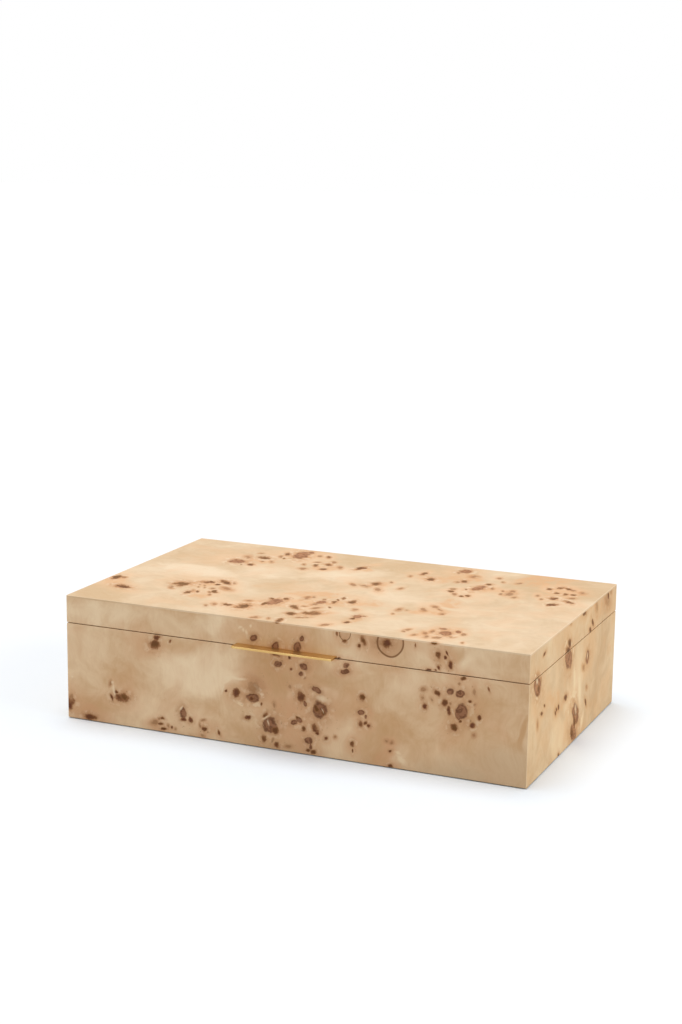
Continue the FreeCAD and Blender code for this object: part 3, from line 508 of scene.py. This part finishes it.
class Burl(Coat):
    """Lacquered burl veneer: clouded pale wood with fibres, and a figure of eyes, knots and marks."""

    def __init__(self, side, figure):
        super().__init__(f"burl_{side}")
        self.figure = figure
        self.like = SEEN_LIKE.get(side, side)
        self.tint = {part: colour(*tint) for part, tint in VENEER_TINTS[self.like].items()}
        self.wood = None
        self.swayed = self.jitter(self.place, *SWAY)
        self.bent = self.jitter(self.jitter(self.place, *COARSE_BEND), *FINE_BEND)
        self.drift = self.jitter(self.place, *DRIFT)
        self.mottle = self.noise(self.drift, *MOTTLE)[0]
        self.blush = self.noise(self.drift, *BLUSH)[0]
        self.patch = self.noise(self.drift, *PATCH)[0]
        self.speckle = self.noise(self.bent, *SPECKLE)[0]
        self.grit = self.noise(self.bent, *GRIT)[0]
        self.fibre = self.noise(self.stretched(self.drift, FIBRES[self.like]), *FIBRE)[0]

    def share(self, name):
        measure, *span = SHARES[name]
        return self.ramp(getattr(self, measure), *span)

    def both(self, first, second):
        return self.times(self.share(first), self.share(second))

    def lay(self, share, tint, blend="MIX"):
        """Lays one of the side's colours over the wood."""
        self.wood = self.mix(share, self.wood, self.tint[tint], blend)

    def nearest(self, where, spots):
        """How far a point is from the nearest spot: 1 at the spot's edge, and EYE_REACH at most."""
        most = None
        for spot in spots:
            near = self.closeness(where, spot, EYE_REACH)
            most = near if most is None else self.math("MAXIMUM", most, near)
        return self.math("MULTIPLY_ADD", most, -EYE_REACH, EYE_REACH)

    def summed_clouds(self, spots):
        """The clouds' strengths, each fading out from its middle, added up."""
        total = None
        for spot, strength in spots:
            near = self.closeness(self.drift, spot, CLOUD_REACH)
            cloud = self.ramp(near, 0.0, CLOUD_FULL, 0.0, strength)
            total = cloud if total is None else self.math("ADD", total, cloud)
        return total

    def grow_wood(self):
        """Pale and tan clouds, blushes, greyer patches, fibres, and stains where the groups of eyes are."""
        tone = self.math("ADD", self.share("mottle_tone"), self.share("patch_tone"))
        self.tone = self.math("ADD", tone, self.summed_clouds(self.figure["clouds"]))
        self.wood = self.mix(self.share("paleness"), self.tint["tan"], self.tint["pale"])
        self.lay(self.share("blush"), "warm")
        if self.figure.get("dull"):
            self.lay(self.summed_clouds(self.figure["dull"]), "dull")
        self.lay(self.share("fibre"), "tan", "MULTIPLY")
        self.stain = self.times(self.summed_clouds(self.figure["stains"]), self.share("stained_patch"))
        self.lay(self.share("stain"), "stain")

    def measure_eyes(self):
        """How far a point is from the nearest eye of each kind."""
        self.to_dark = self.nearest(self.bent, self.figure["dark"])
        self.to_knot = self.nearest(self.bent, self.figure["knots"])
        self.to_faint = self.nearest(self.bent, self.figure["faint"])
        self.to_bold = self.math("MINIMUM", self.to_dark, self.to_knot)
        self.to_any = self.math("MINIMUM", self.to_bold, self.to_faint)

    def colour_around_eyes(self):
        """Warm and brown wood, then pale flecks, pale arcs and dark specks in it."""
        self.lay(self.both("glow", "glowing_mottle"), "warm")
        self.lay(self.both("smear", "smeared_patch"), "smear")
        around = self.band(self.to_bold, *FLECK_BAND)
        flecks = self.ramp(self.grit, *FLECK_GRIT, 0, PALE_FLECKS[self.like])
        self.lay(self.times(around, flecks), "halo")
        if self.figure.get("pale_rings"):
            to_pale = self.nearest(self.jitter(self.swayed, *ARC_SWAY), self.figure["pale_rings"])
            self.lay(self.times(self.band(to_pale, *ARC_BAND), self.share("arc_patch")), "halo")
        self.lay(self.both("pepper", "near_eyes"), "faint")

    def draw_faint_eyes(self):
        ragged = RAGGED[self.like]
        speckled = self.share("speckled_edge")
        self.uneven = self.math("ADD", speckled, self.ramp(self.grit, start=-ragged, end=ragged))
        edge = self.math("ADD", self.to_faint, self.uneven)
        self.lay(self.ramp(edge, *FAINT_EDGE, FAINT_FIRMNESS[self.like], 0), "faint")

    def draw_knots(self):
        """Brown knots with a swirl in them, outlined here and there."""
        self.knot_edge = self.math("MULTIPLY_ADD", self.uneven, KNOT_RAGGED, self.to_knot)
        turns = self.times(self.to_knot, SWIRL_TURNS)
        self.swirl = self.math("SINE", self.math("MULTIPLY_ADD", self.grit, SWIRL_GRIT, turns))
        knot = self.mix(self.share("swirl"), self.tint["knot"], self.tint["line"])
        self.wood = self.mix(self.share("knot"), self.wood, knot)
        outline = self.band(self.knot_edge, *OUTLINE_BAND)
        self.lay(self.times(outline, self.share("outlined_patch")), "line")

    def draw_rings(self):
        """A thin line around an eye, with browner wood inside it."""
        self.to_ring = self.nearest(self.swayed, self.figure["rings"])
        self.lay(self.share("ring_middle"), "smear")
        self.lay(self.both("ring_inside", "ring_outside"), "smear")
        self.lay(self.times(self.band(self.to_ring, *RING_BAND), RING_STRENGTH), "olive")

    def draw_dark_eyes(self):
        """Dark or olive eyes with a lighter rim."""
        self.dark_edge = self.math("ADD", self.to_dark, self.uneven)
        core = self.mix(self.share("olive_core"), self.tint["dark"], self.tint["olive"])
        eye = self.mix(self.share("eye_rim"), core, self.tint["rim"])
        eye = self.mix(self.share("eye_grit"), eye, self.tint["rim"])
        self.wood = self.mix(self.share("eye"), self.wood, eye)

    def draw_marks(self):
        self.mark_edge = self.math("ADD", self.nearest(self.bent, self.figure["marks"]), self.uneven)
        self.lay(self.share("mark"), "halo")

    def paint_edge_highlight(self):
        """Painted highlight: the box's rounded edges are coloured paler, as where the lacquer catches the
        light.
        """
        parts = self.node("ShaderNodeSeparateXYZ", {0: self.vector("ABSOLUTE", self.normal)}).outputs
        self.squareness = self.math("MAXIMUM", self.math("MAXIMUM", parts[0], parts[1]), parts[2])
        self.lay(self.share("edge_highlight"), "halo")

    def material(self):
        self.grow_wood()
        self.measure_eyes()
        self.colour_around_eyes()
        self.draw_faint_eyes()
        self.draw_knots()
        if self.figure.get("rings"):
            self.draw_rings()
        self.draw_dark_eyes()
        if self.figure.get("marks"):
            self.draw_marks()
        # Painted highlight on the rounded edges.
        self.paint_edge_highlight()
        roughness = self.share("roughness")
        return self.finish(self.wood, roughness, self.fibre, *VENEER_BUMP, Specular_IOR_Level=VENEER_SPECULAR)


PORES_PER_LINE = 3


def straight_wood(name, pale, tan, direction):
    """Plain straight-grained wood. Direction has a small number along the grain."""
    graph = Coat(name)
    where = graph.jitter(graph.place, scale=40, reach=0.004)
    lines = graph.noise(graph.stretched(where, direction), scale=1.0, detail=5, roughness=0.6)[0]
    finer = [PORES_PER_LINE * count for count in direction]
    pores = graph.noise(graph.stretched(where, finer), scale=1.0)[0]
    wood = graph.mix(graph.ramp(lines), tan, pale)
    wood = graph.mix(graph.ramp(pores, low=0.55, high=0.75, end=0.35), wood, tan, "MULTIPLY")
    roughness = graph.ramp(lines, start=0.4, end=0.6)
    bump = {"bump_strength": 0.15, "bump_distance": 0.0002}
    return graph.finish(wood, roughness, pores, **bump, Specular_IOR_Level=0.2)


# Polishing marks per metre along each axis.
POLISHING_MARKS = (60, 2600, 2600)


def brass(name, bright, deep, rough_low, rough_high, bump):
    """Brass with a slight change of colour, fine polishing marks and a few smudges."""
    graph = Coat(name)
    smudge = graph.noise(graph.place, scale=60, detail=3)[0]
    marks = graph.noise(graph.stretched(graph.place, POLISHING_MARKS), scale=1.0)[0]
    metal = graph.mix(graph.ramp(smudge), bright, deep)
    smudged = graph.ramp(smudge, low=0.35, high=0.75, start=rough_low, end=rough_high)
    roughness = graph.math("ADD", smudged, graph.ramp(marks, low=0.4, high=0.7, end=0.05))
    return graph.finish(metal, roughness, marks, bump, bump_distance=0.00005, Metallic=1.0)


# How close the nap is along the depth, as a share of the other axes'.
NAP_SHARE = 0.6


def suede(name, raised, brushed, nap_scale, sheen):
    """Napped cloth: brushed patches, short fibres and a soft sheen."""
    graph = Coat(name)
    where = graph.jitter(graph.place, scale=90, reach=0.01)
    patch = graph.noise(where, scale=45, detail=4, roughness=0.6)[0]
    fibres = (nap_scale, nap_scale * NAP_SHARE, nap_scale)
    nap = graph.noise(graph.stretched(where, fibres), scale=1.0, detail=3, roughness=0.7)[0]
    patches = graph.ramp(patch, end=0.6)
    tone = graph.math("ADD", patches, graph.ramp(nap, end=0.4))
    cloth = graph.mix(tone, brushed, raised)
    roughness = graph.ramp(patch, start=0.82, end=0.95)
    bump = {"bump_strength": 0.5, "bump_distance": 0.0004}
    gloss = {"Sheen_Weight": sheen, "Sheen_Roughness": 0.4, "Specular_IOR_Level": 0.2}
    return graph.finish(cloth, roughness, nap, **bump, **gloss)


def rubber(name, light, grey):
    """Pale soft rubber, a little dusty."""
    graph = Coat(name)
    dust = graph.noise(graph.place, scale=900, detail=3)[0]
    tone = graph.mix(graph.ramp(dust), light, grey)
    roughness = graph.ramp(dust, start=0.5, end=0.7)
    return graph.finish(tone, roughness, dust, bump_strength=0.1, bump_distance=0.0001, IOR=1.42)


# Figures of the unseen sides: the seed, half the width that they fill, and the groups of eyes.
HIDDEN_FIGURES = {"back": (11, 0.125, 8), "left": (5, 0.07, 5)}
FIGURE_HEIGHTS = (0.015, 0.07)
GROUP_SPREAD = (0.008, 0.022)
# What a group has: the most eyes of each kind, and their least and most radius.
GROUP_EYES = (("knots", 2, 0.002, 0.0045), ("dark", 9, 0.0007, 0.0026), ("faint", 6, 0.0007, 0.0024))
# Shapes as shares: a group's height of its width, an eye's width of its length, and the same for a cloud.
GROUP_FLATNESS = 0.7
EYE_FLATNESS = (0.5, 0.95)
CLOUD_FLATNESS = 0.6
CLOUD_RADIUS = (0.02, 0.045)
CLOUD_STRENGTH = (-0.6, 0.8)
# A group's stain, in spreads along and across, and how strong it is.
HIDDEN_STAIN = (2.2, 1.6)
HIDDEN_STAIN_STRENGTH = 0.8


def random_figure(face, seed, half_width, groups):
    """A figure for a side that isn't seen, with its eyes in loose groups as on the others."""
    draw = random.Random(seed)
    figure = {"dark": [], "knots": [], "faint": [], "stains": [], "clouds": []}

    def place(middle, spread_first, spread_second):
        here = Vector((0, 0, 0))
        here[face.axis] = face.level
        here[face.first] = middle[0] + draw.gauss(0, spread_first)
        here[face.second] = middle[1] + draw.gauss(0, spread_second)
        return here

    def somewhere():
        return (draw.uniform(-half_width, half_width), draw.uniform(*FIGURE_HEIGHTS))

    for _ in range(groups):
        middle, spread = somewhere(), draw.uniform(*GROUP_SPREAD)
        stain = face.spot(place(middle, 0, 0), 0.0, *(share * spread for share in HIDDEN_STAIN))
        figure["stains"].append((stain, HIDDEN_STAIN_STRENGTH))
        for kind, count, least, most in GROUP_EYES:
            for _ in range(draw.randint(1, count)):
                here = place(middle, spread, GROUP_FLATNESS * spread)
                radius = draw.uniform(least, most)
                angle = draw.uniform(0, math.pi)
                figure[kind].append(face.spot(here, angle, radius, radius * draw.uniform(*EYE_FLATNESS)))
    for _ in range(groups):
        here, radius = place(somewhere(), 0, 0), draw.uniform(*CLOUD_RADIUS)
        cloud = face.spot(here, draw.uniform(0, math.pi), radius, CLOUD_FLATNESS * radius)
        figure["clouds"].append((cloud, draw.uniform(*CLOUD_STRENGTH)))
    return figure


def seen_figure(side, face):
    """The figure of a side that the photograph shows."""
    return {
        "dark": [face.seen_eye(*eye) for eye in DARK_EYES[side]],
        "knots": [face.seen_eye(*eye) for eye in KNOTS[side]],
        "faint": [face.seen_eye(*eye) for eye in FAINT_EYES[side]],
        "rings": [face.seen_spot(*ring) for ring in RINGS.get(side, ())],
        "pale_rings": [face.seen_spot(*ring) for ring in PALE_RINGS.get(side, ())],
        "marks": [face.seen_spot(*mark) for mark in PALE_MARKS.get(side, ())],
        "stains": [(face.seen_spot(*stain), STAIN_STRENGTH[side]) for stain in STAINS[side]],
        "dull": [(face.seen_spot(*patch), DULL_STRENGTH) for patch in DULL_PATCHES.get(side, ())],
        "clouds": [(face.seen_spot(*ellipse), strength) for *ellipse, strength in CLOUDS[side]],
    }


def veneer(side):
    face = FACES[side]
    if side in HIDDEN_FIGURES:
        return Burl(side, random_figure(face, *HIDDEN_FIGURES[side])).material()
    return Burl(side, seen_figure(side, face)).material()


def paint(node, material):
    mesh = NODES[node].data
    mesh.materials.clear()
    mesh.materials.append(material)


# Pale and tan colours of the plain wood, and its lines per metre along and across the grain.
EDGING_WOOD = (colour(238, 208, 166), colour(216, 178, 132))
BOARD_WOOD = (colour(196, 160, 116), colour(164, 124, 84))
PANEL_WOOD = (colour(200, 166, 122), colour(170, 130, 88))
LENGTHWISE_GRAIN, DEPTHWISE_GRAIN, PANEL_GRAIN = (30, 1400, 1400), (1400, 30, 1400), (30, 900, 900)
# The brass of the tab and hinges, and of the screws: two colours, least and most roughness, marks' depth.
POLISHED = (colour(218, 185, 124), colour(207, 169, 106), 0.33, 0.4, 0.03)
SATIN = (colour(216, 176, 100), colour(188, 142, 72), 0.28, 0.4, 0.1)


def dress_nodes():
    for side in SIDES:
        figure = veneer(side)
        grain = LENGTHWISE_GRAIN if side in ("front", "back") else DEPTHWISE_GRAIN
        edging = straight_wood(f"edging_{side}", *EDGING_WOOD, grain)
        board = straight_wood(f"board_{side}", *BOARD_WOOD, grain)
        for rim, plain in (("base", "wall"), ("lid", "rail")):
            paint(f"{rim}_{side}_veneer", figure)
            paint(f"{rim}_{side}_edging", edging)
            paint(f"{rim}_{side}_{plain}", board)
    paint("lid_top_veneer", veneer("top"))
    panel = straight_wood("panel_board", *PANEL_WOOD, PANEL_GRAIN)
    paint("base_bottom_panel", panel)
    paint("lid_top_panel", panel)
    polished = brass("polished_brass", *POLISHED)
    satin = brass("screw_brass", *SATIN)
    paint("lift_tab", polished)
    for side in ("left", "right"):
        for part in ("base_leaf", "lid_leaf", "pin"):
            paint(f"{side}_hinge_{part}", polished)
    for screws in ("hinge_base_screws", "hinge_lid_screws", "lift_tab_screws"):
        paint(screws, satin)


def mesh_object(name, points, faces, material):
    mesh = bpy.data.meshes.new(name)
    mesh.from_pydata(points, [], faces)
    mesh.materials.append(material)
    for polygon in mesh.polygons:
        polygon.use_smooth = True
    made = bpy.data.objects.new(name, mesh)
    bpy.context.scene.collection.objects.link(made)
    return made


# The soft pieces' forms: their sides' share of the thickness, how far in their edges are rounded, the face's
# rise to its middle, how far the sides pull in between corners, and how much the face's ends lose per height.
STRIP_FORM = {"side_share": 0.75, "rounding": 0.0012, "crown": 0.0002, "slack": 0.0, "mitre": 1.0}
PAD_FORM = {"side_share": 0.4, "rounding": 0.003, "crown": 0.0006, "slack": 0.0002, "mitre": 0.0}
FELT_FORM = {"side_share": 0.4, "rounding": 0.0006, "crown": 0.00005, "slack": 0.0, "mitre": 0.0}
STRIP_SEED, FLOOR_PAD_SEED, LID_PAD_SEED, FELT_SEED = 40, 21, 22, 31
SLAB_STEP = 0.004
EDGE_STATIONS = (0, 0.04, 0.15, 0.33, 0.6, 1.0)
# The face's ripple: its waves, their radians per metre and phases, its share of the crown, and its fade.
RIPPLE_WAVES = 4
RIPPLE_PITCH, RIPPLE_PHASE = (15, 60), (0, 6.28)
RIPPLE_SHARE = 0.12
RIPPLE_FADE = 6


def stations(half, rounding):
    """Places across a slab, closer together where its edges are rounded."""
    edge = [rounding * share for share in EDGE_STATIONS]
    inner = half - rounding
    count = max(2, round(2 * inner / SLAB_STEP))
    middle = [-inner + 2 * inner * step / count for step in range(1, count)]
    return [inset - half for inset in edge] + middle + [half - inset for inset in reversed(edge)]


def rise(inset, rounding):
    """How far up a rounded edge has come, as a share, at a distance in from it."""
    share = min(1.0, inset / rounding)
    return math.sqrt(max(0.0, 1 - (1 - share) ** 2))


def slab_faces(rows, columns):
    """Quads of a front sheet of points, of the back sheet after it, and of the sides between them."""
    back = rows * columns
    faces = []
    for row in range(rows - 1):
        for column in range(columns - 1):
            corner = row * columns + column
            ring = (corner, corner + columns, corner + columns + 1, corner + 1)
            faces.append(ring)
            faces.append(tuple(back + point for point in reversed(ring)))
    border = list(range(columns))
    border += [row * columns + columns - 1 for row in range(1, rows)]
    border += [(rows - 1) * columns + column for column in range(columns - 2, -1, -1)]
    border += [row * columns for row in range(rows - 2, 0, -1)]
    for first, second in zip(border, border[1:] + border[:1]):
        faces.append((first, second, back + second, back + first))
    return faces


def soft_slab(name, place, half_length, half_width, thickness, material, seed, form):
    """A closed pad or covered strip. place turns (along, across, height) into a point; the back is at 0."""
    draw = random.Random(seed)
    spans = (RIPPLE_PITCH, RIPPLE_PITCH, RIPPLE_PHASE, RIPPLE_PHASE)
    waves = [[draw.uniform(*span) for span in spans] for _ in range(RIPPLE_WAVES)]
    rounding, crown, slack = form["rounding"], form["crown"], form["slack"]
    sides = form["side_share"] * thickness

    def face_height(along, across):
        length_share, width_share = along / half_length, across / half_width
        full = rise(half_length - abs(along), rounding) * rise(half_width - abs(across), rounding)
        ripple = sum(
            math.sin(pitch_along * along + phase_along) * math.sin(pitch_across * across + phase_across)
            for pitch_along, pitch_across, phase_along, phase_across in waves
        ) / RIPPLE_WAVES
        fade = (1 - length_share ** RIPPLE_FADE) * (1 - width_share ** RIPPLE_FADE)
        crowned = (1 - length_share ** 2) * (1 - width_share ** 2)
        bulge = crown * (crowned + RIPPLE_SHARE * ripple * fade)
        return sides + (thickness - crown - sides) * full + bulge

    rows, columns = stations(half_length, rounding), stations(half_width, rounding)
    points = []
    for back in (False, True):
        for along in rows:
            for across in columns:
                length_share, width_share = along / half_length, across / half_width
                height = 0.0 if back else face_height(along, across)
                end = slack * (1 - width_share ** 2) + form["mitre"] * height
                side = slack * (1 - length_share ** 2)
                points.append(place(along - length_share * end, across - width_share * side, height))
    return mesh_object(name, points, slab_faces(len(rows), len(columns)), material)


def settle(piece, body, slot, *nodes):
    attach(piece, body)
    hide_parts(*nodes)


def slab_for(node, name, axes, way, material, seed, form):
    """A slab in the place of a node: axes for its length, width and height, and which way its face is."""
    low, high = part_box(node)
    middle = (low + high) / 2
    length, width, thickness = (high[axis] - low[axis] for axis in axes)
    lengthwise, crosswise, outward = axes
    back = low[outward] if way == 1 else high[outward]

    def place(along, across, height):
        point = Vector((0, 0, 0))
        point[lengthwise] = middle[lengthwise] + along
        point[crosswise] = middle[crosswise] + across
        point[outward] = back + way * height
        return point

    return soft_slab(name, place, length / 2, width / 2, thickness, material, seed, form)


def line_strip(node, body, side, material, seed):
    """A suede-covered strip in the place of one lining, with its face to the inside of the box."""
    axes = (X, Z, Y) if side in ("front", "back") else (Y, Z, X)
    way = 1 if side in ("front", "left") else -1
    strip = slab_for(node, f"{node}_suede", axes, way, material, seed, STRIP_FORM)
    settle(strip, body, "suede_lining", node)


def lay_pad(node, body, way, material, seed):
    """A suede-covered pad in the place of the floor's, which faces up, or the lid's, which faces down."""
    pad = slab_for(node, f"{node}_suede", (X, Y, Z), way, material, seed, PAD_FORM)
    settle(pad, body, "suede_lining", node)


def lay_felt(material):
    """A felt sheet under the bottom panel, with its face down."""
    felt = slab_for("base_felt", "base_felt_sheet", (X, Y, Z), -1, material, FELT_SEED, FELT_FORM)
    settle(felt, "base", "felt", "base_felt")


# A dot's outline from its foot to its top, as shares of its radius and its height.
DOT_PROFILE = ((1.0, 0.0), (1.0, 0.45), (0.97, 0.62), (0.9, 0.76), (0.75, 0.88), (0.5, 0.96), (0.25, 0.99))
DOT_TURNS = 32


def set_dots(material):
    """Two low domed rubber dots in the place of the lid's bumpers."""
    low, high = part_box("lid_bumpers")
    radius = (high.y - low.y) / 2
    height = high.z - low.z
    points, faces = [], []
    for middle in (low.x + radius, high.x - radius):
        start = len(points)
        for reach, up in DOT_PROFILE:
            for turn in range(DOT_TURNS):
                angle = 2 * math.pi * turn / DOT_TURNS
                across, along = radius * reach * math.cos(angle), radius * reach * math.sin(angle)
                points.append((middle + across, low.y + radius + along, low.z + height * up))
        for ring in range(len(DOT_PROFILE) - 1):
            first, second = start + ring * DOT_TURNS, start + (ring + 1) * DOT_TURNS
            for turn in range(DOT_TURNS):
                after = (turn + 1) % DOT_TURNS
                faces.append((first + turn, first + after, second + after, second + turn))
        last = start + (len(DOT_PROFILE) - 1) * DOT_TURNS
        faces.append(tuple(range(last, last + DOT_TURNS)))
        faces.append(tuple(range(start + DOT_TURNS - 1, start - 1, -1)))
    dots = mesh_object("lid_bumper_dots", points, faces, material)
    settle(dots, "base", "soft_dot", "lid_bumpers")


# The cloths' raised and brushed colours, the nap's fibres per metre, and the sheen.
SUEDE = (colour(122, 98, 78), colour(92, 72, 56), 900, 0.35)
FELT = (colour(58, 54, 50), colour(38, 35, 33), 1600, 0.2)


def line_box():
    lining = suede("suede_lining", *SUEDE)
    for number, side in enumerate(SIDES):
        for rim in ("base", "lid"):
            line_strip(f"{rim}_{side}_lining", rim, side, lining, STRIP_SEED + number)
    lay_pad("base_floor_pad", "base", 1, lining, FLOOR_PAD_SEED)
    lay_pad("lid_pad", "lid", -1, lining, LID_PAD_SEED)
    lay_felt(suede("felt", *FELT))
    set_dots(rubber("soft_dot", colour(226, 222, 212), colour(204, 198, 186)))


SKY = 0.52
# Soft suns from above and from the right: strength, width in degrees, and the way the light goes.
SUNS = (("key", 1.45, 40, (0.12, -0.02, -1.0)), ("fill", 0.8, 50, (-0.95, -0.1, -0.27)))
FLOOR_HALF = 8.0
FLOOR_DROP = 0.0002
FLOOR_GREY = (0.78, 0.78, 0.78, 1)
# The seen floor is cooler around the box, as far as this, because the wood throws warm light on it.
COOL_REACH = (0.36, 0.30, 1.0)
COOL_WHITE = (0.9, 1.03, 1.16, 1)


def make_sky():
    graph = Graph(bpy.data.worlds.new("studio"))
    sky = graph.node("ShaderNodeBackground", {"Color": WHITE, "Strength": SKY})
    white = graph.node("ShaderNodeBackground", {"Color": WHITE})
    bpy.context.scene.world = graph.output("ShaderNodeOutputWorld", graph.white_where_seen(sky, white))


def add_suns():
    for name, strength, width, way in SUNS:
        sun = bpy.data.lights.new(name, "SUN")
        sun.energy = strength
        sun.angle = math.radians(width)
        lamp = bpy.data.objects.new(name, sun)
        lamp.rotation_euler = Vector(way).to_track_quat("-Z", "Y").to_euler()
        bpy.context.scene.collection.objects.link(lamp)


def lay_floor():
    ground = Coat("white_floor")
    near = ground.closeness(ground.place, {"Scale": COOL_REACH}, 1.0)
    plain = ground.node("ShaderNodeBsdfDiffuse", {"Color": FLOOR_GREY})
    seen = ground.node("ShaderNodeBsdfDiffuse", {"Color": ground.mix(near, WHITE, COOL_WHITE)})
    material = ground.output("ShaderNodeOutputMaterial", ground.white_where_seen(plain, seen))
    ways = ((-1, -1), (1, -1), (1, 1), (-1, 1))
    corners = [(FLOOR_HALF * x, FLOOR_HALF * y, -FLOOR_DROP) for x, y in ways]
    mesh_object("floor", corners, [(0, 1, 2, 3)], material)


bpy.context.scene.view_settings.view_transform = "Standard"
make_camera()
dress_nodes()
line_box()
make_sky()
add_suns()
lay_floor()
